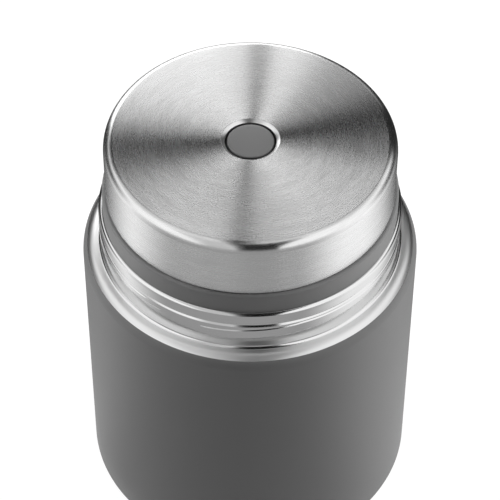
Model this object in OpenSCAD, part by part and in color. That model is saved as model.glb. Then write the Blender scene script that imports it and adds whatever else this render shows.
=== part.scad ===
// Insulated food jar: a vacuum flask with two steel walls, closed by a screw-in stopper that has
// a steel cap and a press vent. The axis is +Z, the jar stands on z = 0 and its front faces -Y.

/* [Flask] */
// Diameter of the coated wall
body_d = 100; // [98:0.5:110]
// Height of the mouth's rim above the table
rim_z = 108; // [100:1:150]
// Sheet thickness of the outer shell
shell_t = 0.5; // [0.4:0.05:0.6]
// Rounding from the shoulder into the wall
shoulder_round = 4.2; // [3:0.1:6]
// Rounding at the foot of the wall
foot_round = 4; // [3.5:0.1:5]
// Empty space between the two walls
vacuum_gap = 4; // [3:0.1:5]
// Sheet thickness of the inner vessel
vessel_t = 0.5; // [0.4:0.05:0.6]
// Rounding between the vessel's wall and its floor
vessel_round = 12; // [8:0.5:16]
// Height of the vessel's outside above the table
vessel_lift = 12; // [11:0.5:16]

/* [Neck] */
// Width of the shoulder, from the plain band under the rim out to the wall
shoulder_w = 5.2; // [4.6:0.1:8]
// Height of the neck, from the shoulder to the rim
neck_h = 13.9; // [13:0.1:16]
// Height of the plain band, from its foot to the rim
band_h = 4; // [3:0.1:4.5]
// Depth of the rolled grooves below the band
groove_depth = 0.8; // [0.5:0.05:0.9]
// Empty space between the two walls at the neck
neck_gap = 2; // [1.6:0.1:2.3]
// Depth of the stopper's seat below the rim
seat_depth = 16.5; // [15:0.5:20]
// Width of the stopper's seat
seat_w = 3.5; // [3:0.1:4]

/* [Threads] */
// Starts of the cup's thread on the neck and of the stopper's thread
thread_starts = 3; // [3:1:4]
// Rise of a thread in one turn
thread_lead = 12; // [10:0.5:13]
// Height of the stopper's ridges and of the ridges in the mouth
ridge_h = 1.3; // [1:0.05:1.5]
// Width of the cup's ridges on the neck
cup_ridge_w = 3.4; // [2.6:0.1:3.8]

/* [Stopper] */
// Step from the plain band in to the steel cap
cap_inset = 2.4; // [1.8:0.1:3]
// Height of the steel cap
cap_h = 18.8; // [17:0.2:24]
// Rounding of the steel cap's top edge
cap_round = 2.7; // [2:0.1:4]
// Sheet thickness of the steel cap
cap_t = 0.5; // [0.4:0.05:0.7]
// Step from the plain band in to the plastic collar under the cap
collar_inset = 1.3; // [0.8:0.1:1.6]
// Height of the plastic collar
collar_h = 6.6; // [5:0.2:9]
// Wall of the moulded carrier inside the cap
carrier_t = 1.8; // [1.4:0.1:2.2]
// Wall of the stopper's plug
plug_t = 2.5; // [2:0.1:3]

/* [Vent] */
// Diameter of the vent button
button_d = 13.6; // [12:0.2:16]
// Open ring between the button and the cap
button_gap = 0.65; // [0.4:0.05:1]
// Width of the countersink round the button
sink_w = 1.1; // [0.8:0.1:2]
// Depth of the countersink round the button
sink_depth = 0.7; // [0.4:0.05:1]
// Travel of the vent button
vent_travel = 2.5; // [1.5:0.1:3.5]
// Wire diameter of the vent's spring
wire_d = 0.7; // [0.5:0.05:0.8]
// Diameter of the vent's stem
stem_d = 3.6; // [3:0.1:4]

/* [Hidden] */
$fn = 96;
arc_steps = 12;

// Overrun of every cut, and clearances that pieces share
overrun = 1;
weld_gap = 0.02;
glue_gap = 0.1;
slide_gap = 0.08;
free_gap = 0.3;
thread_gap = 0.4;

// Flask: radii and heights
body_r = body_d / 2;
neck_r = body_r - shoulder_w;
root_r = neck_r - groove_depth;
pad_drop = 0.6;
foot_z = pad_drop;
foot_r = body_r - foot_round;
rim_round = 1.2;
band_z = rim_z - band_h;
shoulder_z = rim_z - neck_h;
fillet_r = 1.5;
shoulder_land = 0.1;
shoulder_arc = min(shoulder_round, body_r - root_r - fillet_r - shoulder_land);

// Inner vessel: radii and heights
vessel_neck_r = root_r - shell_t - neck_gap;
mouth_r = vessel_neck_r - vessel_t;
chamber_r = body_r - shell_t - vacuum_gap - vessel_t;
seat_z = rim_z - seat_depth;
seat_r = mouth_r - seat_w;
seat_corner = 0.8;
nose_round = 1.2;
flare = 45;
nose_end = [seat_r + nose_round * (1 + cos(180 + flare)),
            seat_z - nose_round * (1 - sin(180 + flare))];
chamber_round = 8;
flare_run = chamber_r - chamber_round * (1 - cos(flare)) - nose_end.x;
chamber_z = nose_end.y - flare_run * tan(flare) - chamber_round * sin(flare);
floor_z = vessel_lift + vessel_t;
foil_t = 0.1;
foil_gap = 0.05;
foil_margin = 2;

// Bottom of the flask
dish_h = 6;
dish_round = 1.5;
dish_r = foot_r - weld_gap;
dish_z = foot_z + dish_h;
well_r = 6;
well_slope = 1.4;
well_depth = 1.2;
pump_r = 0.8;
bead_r = 2.2;
bead_h = 1;
cover_t = 0.6;
cover_r = dish_r - shell_t - slide_gap;
cover_inset = 0.25;
cover_z = foot_z + cover_inset;
cover_h = 4;
cover_round = 1;
pad_inset = 4.4;
pad_r = cover_r - cover_round - pad_inset;
pad_t = 1.6;
pad_edge = 0.3;
pad_groove_w = 1.5;
pad_groove_depth = 0.4;
pad_groove_shares = [0.3, 0.55, 0.8];
getter_r = 3;
getter_t = 2;
getter_x = 24;
holder_t = 0.4;
holder_w = 5;
holder_lap = 0.8;

// Threads
thread_step = thread_lead / thread_starts;
ridge_break = 4;
ridge_span = 360 / thread_starts - ridge_break;
ridge_rings = 29;
ridge_bury = 0.3;
ridge_sink = 0.15;
ridge_run_share = 0.14;
ridge_shares = [[-0.56, -1], [-0.42, 0.45], [-0.26, 0.95], [0, 1], [0.26, 0.95], [0.42, 0.45],
                [0.56, -1]];
ridge_w = thread_step / 2 - free_gap;
crest_drop = 0.08;
cup_ridge_from = -118;
cup_ridge_drop = 8.8;
stopper_ridge_from = -60;
plug_land = 1;

// Stopper: radii and heights
cap_r = neck_r - cap_inset;
collar_r = neck_r - collar_inset;
collar_z = rim_z + free_gap;
collar_top = collar_z + collar_h;
collar_edge = 0.4;
collar_foot = 0.5;
cap_z = collar_top + free_gap;
cap_top = cap_z + cap_h;
cap_under = cap_top - cap_t;
carrier_r = cap_r - cap_t - glue_gap;
spigot_r = carrier_r - carrier_t - glue_gap;
spigot_h = 3;
plug_r = mouth_r - ridge_h - thread_gap;
plug_in_r = plug_r - plug_t;
seal_t = 2.2;
seal_z = seat_z + free_gap;
plug_z = seal_z + seal_t;
plug_edge = 0.5;
seal_r = mouth_r - ridge_h - free_gap;
mouth_ridge_z = plug_z + plug_land + ridge_w / 2 + thread_step / 2;

// Stopper floor, its seal and its air tube
floor_t = 2;
floor_wall = 1.4;
floor_spigot_r = plug_in_r - glue_gap;
floor_spigot_h = 3;
floor_neck_step = 0.6;
floor_neck_r = floor_spigot_r - floor_neck_step;
seal_in_r = floor_neck_r + free_gap;
nose_r = seat_r - thread_gap;
nose_h = 4.9;
nose_edge = 1.2;
nose_top = seal_z - glue_gap;
nose_z = nose_top - nose_h;
pocket_r = 8.5;
pocket_depth = 2.2;
pocket_z = nose_z + pocket_depth;

// Vent: button, spring and stem
button_r = button_d / 2;
button_t = 2.4;
button_wall = 1.2;
button_dome = 0.2;
button_edge = 0.4;
button_rest = 0.6;
button_top = cap_top - button_rest;
button_under = button_top - button_t;
hole_r = button_r + button_gap;
sink_r = hole_r + sink_w;
hole_lip = 0.8;
spring_curls = 5;
spring_reserve = 0.3;
spring_h = wire_d * (spring_curls + 1) + vent_travel + spring_reserve;
spring_rings = 8;
spring_sides = 6;
seat_washer_t = 0.5;
bush_floor_t = 2;
bush_floor_top = button_under - spring_h - seat_washer_t;
bush_z = bush_floor_top - bush_floor_t;
bush_wall = 1.3;
bush_in_r = button_r + slide_gap;
bush_r = bush_in_r + bush_wall;
bush_flange_w = 1.1;
bush_flange_t = 1.2;
bush_drop = 2.4;
bush_top = button_top - bush_drop;
bush_ledge = bush_top - bush_flange_t;
skirt_z = bush_floor_top + vent_travel + free_gap;
air_slots = 3;
air_slot_w = 1.2;
stem_r = stem_d / 2;
boss_wall = 1.2;
boss_r = stem_r + boss_wall;
boss_z = bush_floor_top + seat_washer_t + vent_travel + free_gap;
boss_roof = 0.6;
boss_hole_h = button_under - boss_z - boss_roof;
air_gap = 1.2;
tube_in_r = stem_r + air_gap;
tube_wall = 1.6;
tube_r = tube_in_r + tube_wall;
stem_collar_r = tube_in_r - free_gap;
stem_collar_h = 1.2;
spring_r = (boss_r + button_r - button_wall) / 2;
washer_in_r = stem_r + free_gap;
washer_r = spring_r + wire_d;
vent_seal_r = 6;
vent_seal_t = 1.6;
retainer_r = 4.6;
retainer_t = 1;
clip_t = 0.6;
clip_r = 3.4;
groove_in = 0.5;
stem_end = 0.6;
vent_seal_z = pocket_z - vent_seal_t;
retainer_z = vent_seal_z - retainer_t;
clip_z = retainer_z - clip_t;
stem_z = clip_z - stem_end;
stem_top = boss_z + boss_hole_h;
well_in_r = max(bush_r + bush_flange_w, sink_r) + free_gap;
foam_bore = tube_r + free_gap;
foam_r = floor_spigot_r - floor_wall - free_gap;
foam_z = pocket_z + floor_t;
foam_top = bush_ledge - carrier_t - free_gap;
foam_bush_r = bush_r + free_gap;

// Points of an arc about a centre, between two angles
function arc(centre, r, from, to) =
    [for (i = [0:arc_steps]) let (a = from + (to - from) * i / arc_steps)
        centre + r * [cos(a), sin(a)]];

function unit(v) = v / norm(v);
function right_of(v) = [v.y, -v.x];

// A line's points moved to its right by t, mitred at the corners
function shifted(line, t) =
    [for (i = [0:len(line) - 1])
        let (last = len(line) - 1,
             before = unit(i == 0 ? line[1] - line[0] : line[i] - line[i - 1]),
             after = i == last ? before : unit(line[i + 1] - line[i]),
             n = right_of(before),
             m = right_of(after))
        line[i] + (n + m) * t / (1 + n * m)];

// Outline of a sheet: its face, and the same line moved to the right by its thickness
function sheet(face, t) =
    let (back = shifted(face, t))
    concat(face, [for (i = [len(back) - 1:-1:0]) back[i]]);

// One cross-section of a ridge, at a share of the way along it
function ridge_ring(root, side, height, width, low_z, from, share) =
    let (ramp = min(1, share / ridge_run_share, (1 - share) / ridge_run_share),
         rise = ramp * ramp * (3 - 2 * ramp),
         a = from + ridge_span * share,
         z = low_z + thread_lead * ridge_span * share / 360)
    [for (p = ridge_shares)
        let (up = p.y < 0 ? -ridge_bury : (p.y * height + ridge_sink) * rise - ridge_sink,
             r = root + side * up)
        [r * cos(a), r * sin(a), z + p.x * width]];

// Sides and ends of a tube whose rings each have n points, wound for a ridge on the outside
function tube_faces(rings, n) =
    concat(
        [for (i = [0:rings - 2]) for (j = [0:n - 1]) let (k = (j + 1) % n)
            [i * n + j, i * n + k, (i + 1) * n + k]],
        [for (i = [0:rings - 2]) for (j = [0:n - 1]) let (k = (j + 1) % n)
            [i * n + j, (i + 1) * n + k, (i + 1) * n + j]],
        [[for (j = [n - 1:-1:0]) j]],
        [[for (j = [0:n - 1]) (rings - 1) * n + j]]);

function flipped(faces) = [for (f = faces) [for (i = [len(f) - 1:-1:0]) f[i]]];

// The ridges of a thread, outside a cylinder (side 1) or inside it (side -1)
module ridges(root, side, height, width, low_z, from) {
    faces = tube_faces(ridge_rings + 1, len(ridge_shares));
    for (k = [0:thread_starts - 1]) {
        rings = [for (i = [0:ridge_rings])
            each ridge_ring(root, side, height, width, low_z, from + 360 * k / thread_starts,
                            i / ridge_rings)];
        polyhedron(rings, side > 0 ? faces : flipped(faces), convexity = 6);
    }
}

module revolve(outline) {
    rotate_extrude() polygon(outline);
}

module ring(in_r, out_r, low_z, height) {
    translate([0, 0, low_z]) difference() {
        cylinder(r = out_r, h = height);
        translate([0, 0, -overrun]) cylinder(r = in_r, h = height + 2 * overrun);
    }
}

// Silicone pad that the jar stands on
module base_pad() {
    color("dimgray") difference() {
        revolve([[0, 0], [pad_r - pad_edge, 0], [pad_r, pad_edge], [pad_r, pad_t], [0, pad_t]]);
        for (share = pad_groove_shares)
            ring(pad_r * share, pad_r * share + pad_groove_w, -overrun,
                 pad_groove_depth + overrun);
    }
}

// Steel plate that hides the vacuum seal and holds the pad in its recess
module base_cover() {
    recess_r = pad_r + glue_gap;
    face = concat(
        [[cover_r, cover_z + cover_h]],
        arc([cover_r - cover_round, cover_z + cover_round], cover_round, 0, -90),
        [[recess_r, cover_z], [recess_r, pad_t], [0, pad_t]]);
    color("silver") revolve(sheet(face, cover_t));
}

// Dished bottom of the outer shell, with the pump-out hole in its well
module shell_bottom() {
    face = concat(
        [[dish_r, foot_z]],
        arc([dish_r - dish_round, dish_z - dish_round], dish_round, 0, 90),
        [[well_r, dish_z], [well_r - well_slope, dish_z - well_depth],
         [pump_r, dish_z - well_depth]]);
    color("lightgray") revolve(sheet(face, -shell_t));
}

// Solder bead that closes the pump-out hole
module sealing_bead() {
    top_z = dish_z - well_depth;
    plug_in = pump_r - weld_gap;
    color("darkgoldenrod") revolve(concat(
        [[0, top_z], [plug_in, top_z], [plug_in, top_z - shell_t], [bead_r, top_z - shell_t]],
        [for (i = [1:arc_steps]) let (a = 90 * i / arc_steps)
            [bead_r * cos(a), top_z - shell_t - bead_h * sin(a)]]));
}

// Sprung channel that holds the getter on the vacuum side
module getter_holder() {
    long = 2 * getter_r + 2 * holder_t;
    high = getter_t + 2 * holder_t;
    color("gray") translate([getter_x, 0, dish_z]) difference() {
        translate([-long / 2, -holder_w / 2, 0]) cube([long, holder_w, high]);
        translate([-getter_r, -holder_w / 2 - overrun, holder_t])
            cube([2 * getter_r, holder_w + 2 * overrun, getter_t]);
        translate([holder_lap - getter_r, -holder_w / 2 - overrun, holder_t])
            cube([2 * (getter_r - holder_lap), holder_w + 2 * overrun, high]);
    }
}

// Pellet that keeps the vacuum
module getter() {
    color("dimgray") translate([getter_x, 0, dish_z + holder_t])
        cylinder(r = getter_r - weld_gap, h = getter_t - weld_gap);
}

// Outer steel wall: rim, neck with the cup's thread, shoulder, coated wall and foot
module outer_shell() {
    face = concat(
        [[vessel_neck_r + weld_gap, rim_z]],
        arc([neck_r - rim_round, rim_z - rim_round], rim_round, 90, 0),
        [[neck_r, band_z], [root_r, band_z - groove_depth]],
        arc([root_r + fillet_r, shoulder_z + fillet_r], fillet_r, 180, 270),
        arc([body_r - shoulder_arc, shoulder_z - shoulder_arc], shoulder_arc, 90, 0),
        arc([foot_r, foot_z + foot_round], foot_round, 0, -90));
    color("slategray") union() {
        revolve(sheet(face, shell_t));
        ridges(root_r, 1, groove_depth - crest_drop, cup_ridge_w, rim_z - cup_ridge_drop,
               cup_ridge_from);
    }
}

// Inner steel wall: mouth with the stopper's thread, seat, and food chamber
module inner_vessel() {
    face = concat(
        [[mouth_r, rim_z]],
        arc([mouth_r - seat_corner, seat_z + seat_corner], seat_corner, 0, -90),
        arc([seat_r + nose_round, seat_z - nose_round], nose_round, 90, 180 + flare),
        arc([chamber_r - chamber_round, chamber_z], chamber_round, flare, 0),
        arc([chamber_r - vessel_round, floor_z + vessel_round], vessel_round, 0, -90),
        [[0, floor_z]]);
    color("lightsteelblue") union() {
        revolve(sheet(face, -vessel_t));
        ridges(mouth_r, -1, ridge_h, ridge_w, mouth_ridge_z, stopper_ridge_from);
    }
}

// Copper foil wrapped round the vessel, which turns back radiant heat
module radiation_foil() {
    foil_r = chamber_r + vessel_t + foil_gap;
    low_z = floor_z + vessel_round + foil_margin;
    color("peru") ring(foil_r, foil_r + foil_t, low_z, chamber_z - foil_margin - low_z);
}

// Silicone ring that seals the stopper on the vessel's seat
module main_seal() {
    color("whitesmoke") ring(seal_in_r, seal_r, seal_z, seal_t);
}

// Collar, plug and outside thread of the stopper, one moulding
module stopper_body() {
    neck_in_r = spigot_r - carrier_t;
    color("slategray") union() {
        revolve([[plug_in_r, plug_z], [plug_r - plug_edge, plug_z], [plug_r, plug_z + plug_edge],
                 [plug_r, collar_z], [collar_r - collar_foot, collar_z],
                 [collar_r, collar_z + collar_foot], [collar_r, collar_top - collar_edge],
                 [collar_r - collar_edge, collar_top], [spigot_r, collar_top],
                 [spigot_r, collar_top + spigot_h], [neck_in_r, collar_top + spigot_h],
                 [neck_in_r, collar_top], [plug_in_r, collar_z]]);
        ridges(plug_r, 1, ridge_h, ridge_w, mouth_ridge_z - thread_step / 2,
               stopper_ridge_from);
    }
}

// Bottom of the stopper, with the air tube and the pocket of the vent's seal
module stopper_floor() {
    wall_in_r = floor_spigot_r - floor_wall;
    top_z = plug_z + floor_spigot_h;
    color("gainsboro") revolve([
        [wall_in_r, top_z], [floor_spigot_r, top_z], [floor_spigot_r, plug_z],
        [floor_neck_r, plug_z], [floor_neck_r, nose_top], [nose_r, nose_top],
        [nose_r, nose_z + nose_edge], [nose_r - nose_edge, nose_z], [pocket_r, nose_z],
        [pocket_r, pocket_z], [tube_in_r, pocket_z], [tube_in_r, bush_z], [tube_r, bush_z],
        [tube_r, pocket_z + floor_t], [pocket_r + floor_t, pocket_z + floor_t],
        [pocket_r + floor_t, nose_z + floor_t], [wall_in_r, nose_z + floor_t]]);
}

// Foam that fills the stopper
module foam_insert() {
    color("ivory") revolve([[foam_bore, foam_z], [foam_r, foam_z], [foam_r, foam_top],
                            [foam_bush_r, foam_top], [foam_bush_r, bush_z - free_gap],
                            [foam_bore, bush_z - free_gap]]);
}

// Moulding that carries the steel cap and holds the vent's guide
module cap_carrier() {
    face = concat(
        [[bush_r + glue_gap, bush_ledge], [well_in_r, bush_ledge], [well_in_r, cap_under]],
        arc([carrier_r - cap_round, cap_under - cap_round], cap_round, 90, 0),
        [[carrier_r, collar_top]]);
    color("gray") revolve(sheet(face, carrier_t));
}

// Steel cap: side wall, top and countersunk hole
module lid_cap() {
    face = concat(
        [[hole_r, cap_top - sink_depth - hole_lip], [hole_r, cap_top - sink_depth],
         [sink_r, cap_top]],
        arc([cap_r - cap_round, cap_top - cap_round], cap_round, 90, 0),
        [[cap_r, cap_z]]);
    color("silver") revolve(sheet(face, cap_t));
}

// Flanged cup in which the button slides, with air slots in its floor
module guide_bush() {
    stem_hole = stem_r + slide_gap;
    color("darkgray") difference() {
        revolve([[stem_hole, bush_z], [bush_r, bush_z], [bush_r, bush_ledge],
                 [bush_r + bush_flange_w, bush_ledge], [bush_r + bush_flange_w, bush_top],
                 [bush_in_r, bush_top], [bush_in_r, bush_floor_top],
                 [stem_hole, bush_floor_top]]);
        for (k = [0:air_slots - 1]) rotate(360 * k / air_slots)
            translate([0, -air_slot_w / 2, bush_z - overrun])
                cube([tube_in_r, air_slot_w, bush_floor_t + 2 * overrun]);
    }
}

// Washer under the spring
module spring_seat() {
    color("silver") ring(washer_in_r, washer_r, bush_floor_top, seat_washer_t);
}

// Centres of the spring's rings, from its lower end to its upper end
spring_low = bush_floor_top + seat_washer_t + wire_d / 2;
spring_rise = spring_h - wire_d;
spring_count = spring_curls * spring_rings + 1;
function spring_point(i) =
    let (turn = i / spring_rings, a = 360 * turn)
    [spring_r * cos(a), spring_r * sin(a), spring_low + spring_rise * turn / spring_curls];

// Least gap between a ring's centre and those about one curl further on
function spring_gaps() =
    [for (i = [0:spring_count - 1 - spring_rings]) for (j = [i + spring_rings / 2:spring_count - 1])
        norm(spring_point(i) - spring_point(j)) - wire_d];

// Compression spring under the button
module vent_spring() {
    echo(spring_least_gap = min(spring_gaps()));
    rings = [for (i = [0:spring_count - 1])
        let (a = 360 * i / spring_rings, c = spring_point(i))
        for (s = [0:spring_sides - 1]) let (b = 360 * s / spring_sides - 90)
            c + wire_d / 2 * [cos(b) * cos(a), cos(b) * sin(a), sin(b)]];
    color("silver") polyhedron(rings, tube_faces(spring_count, spring_sides), convexity = 12);
}

// Vent button: slightly domed top, skirt that slides in the bush, and socket for the stem
module vent_button() {
    skirt_in_r = button_r - button_wall;
    socket_r = stem_r + weld_gap;
    dome = [for (i = [0:arc_steps]) let (share = i / arc_steps)
        [(button_r - button_edge) * share, button_top + button_dome * (1 - share * share)]];
    color("gray") revolve(concat(
        dome,
        [[button_r, button_top - button_edge], [button_r, skirt_z], [skirt_in_r, skirt_z],
         [skirt_in_r, button_under], [boss_r, button_under], [boss_r, boss_z],
         [socket_r, boss_z], [socket_r, stem_top], [0, stem_top]]));
}

// Stem between the button and the vent's seal, grooved for the clip
module vent_stem() {
    groove_r = stem_r - groove_in;
    color("lightgray") revolve([
        [0, stem_z], [stem_r, stem_z], [stem_r, clip_z], [groove_r, clip_z],
        [groove_r, retainer_z], [stem_r, retainer_z], [stem_r, pocket_z],
        [stem_collar_r, pocket_z], [stem_collar_r, pocket_z + stem_collar_h],
        [stem_r, pocket_z + stem_collar_h], [stem_r, stem_top], [0, stem_top]]);
}

// Silicone disc that closes the air tube
module vent_seal() {
    color("whitesmoke") ring(stem_r + weld_gap, vent_seal_r, vent_seal_z, vent_seal_t);
}

// Plastic disc that backs the vent's seal
module seal_retainer() {
    color("darkgray") ring(stem_r + weld_gap, retainer_r, retainer_z, retainer_t);
}

// Spring clip that locks the retainer on the stem
module retaining_clip() {
    in_r = stem_r - groove_in + weld_gap;
    color("silver") difference() {
        ring(in_r, clip_r, clip_z, clip_t);
        translate([0, -in_r, clip_z - overrun])
            cube([clip_r + overrun, 2 * in_r, clip_t + 2 * overrun]);
    }
}

base_pad();
base_cover();
shell_bottom();
sealing_bead();
getter_holder();
getter();
outer_shell();
inner_vessel();
radiation_foil();
main_seal();
stopper_body();
stopper_floor();
foam_insert();
cap_carrier();
lid_cap();
guide_bush();
spring_seat();
vent_spring();
vent_button();
vent_stem();
vent_seal();
seal_retainer();
retaining_clip();
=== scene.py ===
"""Insulated food jar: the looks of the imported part, a white studio and the photograph's camera.

The jar stands on z = 0 with its axis on +Z and its front towards -Y. Outlines are drawn in
millimetres and become metres when a piece is handed over. In the names of sizes r is a radius, z
a height above the floor, t a thickness, w a width, h a height and d a diameter or a depth.
"""

import logging
import math
from dataclasses import dataclass
from enum import Enum
from typing import Callable

import bmesh
import bpy
from mathutils import Matrix, Vector

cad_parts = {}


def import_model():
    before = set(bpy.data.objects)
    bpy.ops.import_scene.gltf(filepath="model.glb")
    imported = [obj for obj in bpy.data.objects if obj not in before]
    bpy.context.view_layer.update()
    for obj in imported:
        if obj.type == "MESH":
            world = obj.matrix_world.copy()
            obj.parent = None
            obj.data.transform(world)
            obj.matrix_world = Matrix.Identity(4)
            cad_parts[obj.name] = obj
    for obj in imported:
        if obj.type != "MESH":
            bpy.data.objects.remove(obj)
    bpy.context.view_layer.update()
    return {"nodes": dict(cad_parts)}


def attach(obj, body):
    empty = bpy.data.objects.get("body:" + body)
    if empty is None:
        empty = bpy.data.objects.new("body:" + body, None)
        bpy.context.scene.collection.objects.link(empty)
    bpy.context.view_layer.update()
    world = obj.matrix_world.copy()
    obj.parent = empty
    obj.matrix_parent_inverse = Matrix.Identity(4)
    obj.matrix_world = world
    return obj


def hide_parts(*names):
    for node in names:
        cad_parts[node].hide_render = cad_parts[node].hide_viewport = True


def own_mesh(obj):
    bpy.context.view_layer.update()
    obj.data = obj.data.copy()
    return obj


log = logging.getLogger("food_jar")

MM = 0.001
SPIN_STEPS = 240
SMALL_SPIN_STEPS = 96
ARC_STEPS = 8
CARD_SPIN_STEPS = 48
CARD_LINE_STEPS = 8
WELD = 0.001
AXIS_GAP = 1e-5
SHARP_DEGREES = 32.0
FULL_TURN = 360.0

Mesh = bmesh.types.BMesh
Object = bpy.types.Object
Material = bpy.types.Material
Node = bpy.types.Node
Socket = bpy.types.NodeSocket
Colour = tuple[float, float, float]
Way = tuple[float, float, float]
Span = tuple[float, float]

RIGHT: Way = (1.0, 0.0, 0.0)
BACK: Way = (0.0, 1.0, 0.0)
FRONT: Way = (0.0, -1.0, 0.0)
UP: Way = (0.0, 0.0, 1.0)
NEAR_RIGHT: Way = (1.0, -0.1, 0.0)
NEAR_BACK: Way = (-0.075, 1.0, 0.0)


def grey(level: float) -> Colour:
    """A neutral colour of a linear level."""
    return (level, level, level)


def placed(name: str, data: bpy.types.ID) -> Object:
    """A new object of that name, linked to the scene."""
    made = bpy.data.objects.new(name, data)
    bpy.context.scene.collection.objects.link(made)
    return made


def meshed(name: str, mesh: Mesh) -> Object:
    """A new object with a finished mesh, which is freed."""
    data = bpy.data.meshes.new(name)
    mesh.to_mesh(data)
    mesh.free()
    return placed(name, data)


class Body(Enum):
    """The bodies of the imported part."""

    FLASK = "flask"
    SEAL_RING = "seal_ring"
    STOPPER = "stopper"
    VENT = "vent"


class Slot(Enum):
    """The material slots of the record."""

    WALL_COAT = "wall_coat"
    POLISHED_STEEL = "polished_steel"
    BRUSHED_STEEL = "brushed_steel"
    PLAIN_STEEL = "plain_steel"
    GREY_PLASTIC = "grey_plastic"
    DARK_PLASTIC = "dark_plastic"
    PALE_PLASTIC = "pale_plastic"
    DARK_SILICONE = "dark_silicone"
    CLEAR_SILICONE = "clear_silicone"
    FOAM = "foam"
    COPPER_FOIL = "copper_foil"
    SOLDER = "solder"
    GETTER_PELLET = "getter_pellet"


class Value:
    """A number that a shader works out, used with Python's arithmetic."""

    def __init__(self, shader: "Shader", socket: Socket) -> None:
        """Wraps a node's output socket."""
        self.shader = shader
        self.socket = socket

    def maths(self, operation: str, *terms: "Value | float") -> "Value":
        """Adds a Math node.

        Args:
            operation: The Math node's operation.
            terms: Its inputs, in order.

        Returns:
            The node's result.
        """
        sockets = dict(enumerate(terms))
        node = self.shader.node("ShaderNodeMath", sockets, operation=operation)
        return Value(self.shader, node.outputs[0])

    def spread(self, base: float, play: Span) -> "Value":
        """A 0 to 1 value spread over a base and the lowest and highest change of it."""
        low, high = base + play[0], base + play[1]
        return self * (high - low) + low

    def __add__(self, other: "Value | float") -> "Value":
        """Sum."""
        return self.maths("ADD", self, other)

    def __sub__(self, other: "Value | float") -> "Value":
        """Difference."""
        return self.maths("SUBTRACT", self, other)

    def __rsub__(self, other: float) -> "Value":
        """Difference from a plain number."""
        return self.maths("SUBTRACT", other, self)

    def __mul__(self, other: "Value | float") -> "Value":
        """Product."""
        return self.maths("MULTIPLY", self, other)

    def __truediv__(self, other: "Value | float") -> "Value":
        """Quotient."""
        return self.maths("DIVIDE", self, other)

    def __pow__(self, other: float) -> "Value":
        """Power."""
        return self.maths("POWER", self, other)

    __radd__ = __add__
    __rmul__ = __mul__


class Shader:
    """The node tree of a material, or of the world, while it is built."""

    def __init__(self, name: str, world: bpy.types.World | None = None) -> None:
        """Starts an empty material of that name, or empties a world's tree."""
        self.owner = world or bpy.data.materials.new(name)
        self.owner.use_nodes = True
        self.tree = self.owner.node_tree
        self.tree.nodes.clear()

    def node(self, kind: str, sockets: dict | None = None, **settings: str) -> Node:
        """Adds a node.

        Args:
            kind: The node's type.
            sockets: Values or links of its inputs, by name or place.
            settings: Its settings, which are set first.

        Returns:
            The new node.
        """
        made = self.tree.nodes.new(kind)
        for name, value in settings.items():
            setattr(made, name, value)
        for key, value in (sockets or {}).items():
            source = getattr(value, "socket", value)
            if isinstance(source, Socket):
                self.tree.links.new(source, made.inputs[key])
            else:
                made.inputs[key].default_value = source
        return made

    def place(self) -> Socket:
        """The point's object coordinates, in metres."""
        return self.node("ShaderNodeTexCoord").outputs["Object"]

    def axes(self) -> tuple[Value, Value, Value]:
        """The object coordinates as three numbers."""
        parts = self.node("ShaderNodeSeparateXYZ", {0: self.place()})
        x, y, z = (Value(self, out) for out in parts.outputs)
        return x, y, z

    def noise(self, at: Socket, scale: float, detail: float, rough: float = 0.5) -> Value:
        """Noise from 0 to 1 at a point, of a scale, a count of octaves and their weight."""
        sockets = {"Vector": at, "Scale": scale, "Detail": detail, "Roughness": rough}
        return Value(self, self.node("ShaderNodeTexNoise", sockets).outputs[0])

    def turned_lines(self, pitch: float, arc: float, detail: float) -> Value:
        """Fine lines round the Z axis, as a lathe or a brushing pad leaves them.

        Args:
            pitch: Distance between lines, in metres.
            arc: How many times a line changes in one turn, about.
            detail: Octaves.

        Returns:
            Noise from 0 to 1 that is long round the axis and short across it.
        """
        x, y, z = self.axes()
        radius = (x * x + y * y + AXIS_GAP * AXIS_GAP) ** 0.5
        point = {0: x / radius * arc, 1: y / radius * arc, 2: (radius - z) / pitch}
        return self.noise(self.node("ShaderNodeCombineXYZ", point).outputs[0], 1.0, detail)

    def tinted(self, factor: Value, colour: Colour, tone: Span) -> Socket:
        """A colour whose brightness changes over the surface.

        Args:
            factor: 0 for the darkest, 1 for the lightest.
            colour: The colour.
            tone: The darkest and the lightest, as shares of the colour.

        Returns:
            The mixed colour.
        """
        dark, light = (tuple(part * share for part in colour) for share in tone)
        sockets = {0: factor, 6: (*dark, 1.0), 7: (*light, 1.0)}
        return self.node("ShaderNodeMix", sockets, data_type="RGBA").outputs[2]

    def bump(self, height: Value, depth: float) -> Socket:
        """A normal from a height of 0 to 1, where 1 stands for a depth in metres."""
        return self.node("ShaderNodeBump", {"Distance": depth, "Height": height}).outputs[0]

    def surface(self, sockets: dict) -> Material:
        """Ends a material with the Principled shader, whose inputs are given by name."""
        return self.end(self.node("ShaderNodeBsdfPrincipled", sockets))

    def mixed(self, share: Value, first: Node, second: Node) -> Material:
        """Ends a material with a mix of two shaders.

        Args:
            share: Share of the second.
            first: One shader.
            second: The other.

        Returns:
            The finished material.
        """
        sockets = {0: share, 1: first.outputs[0], 2: second.outputs[0]}
        return self.end(self.node("ShaderNodeMixShader", sockets))

    def end(self, shader: Node) -> Material:
        """Joins the last shader to the material's output, and returns the material."""
        self.node("ShaderNodeOutputMaterial", {0: shader.outputs[0]})
        return self.owner


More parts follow.
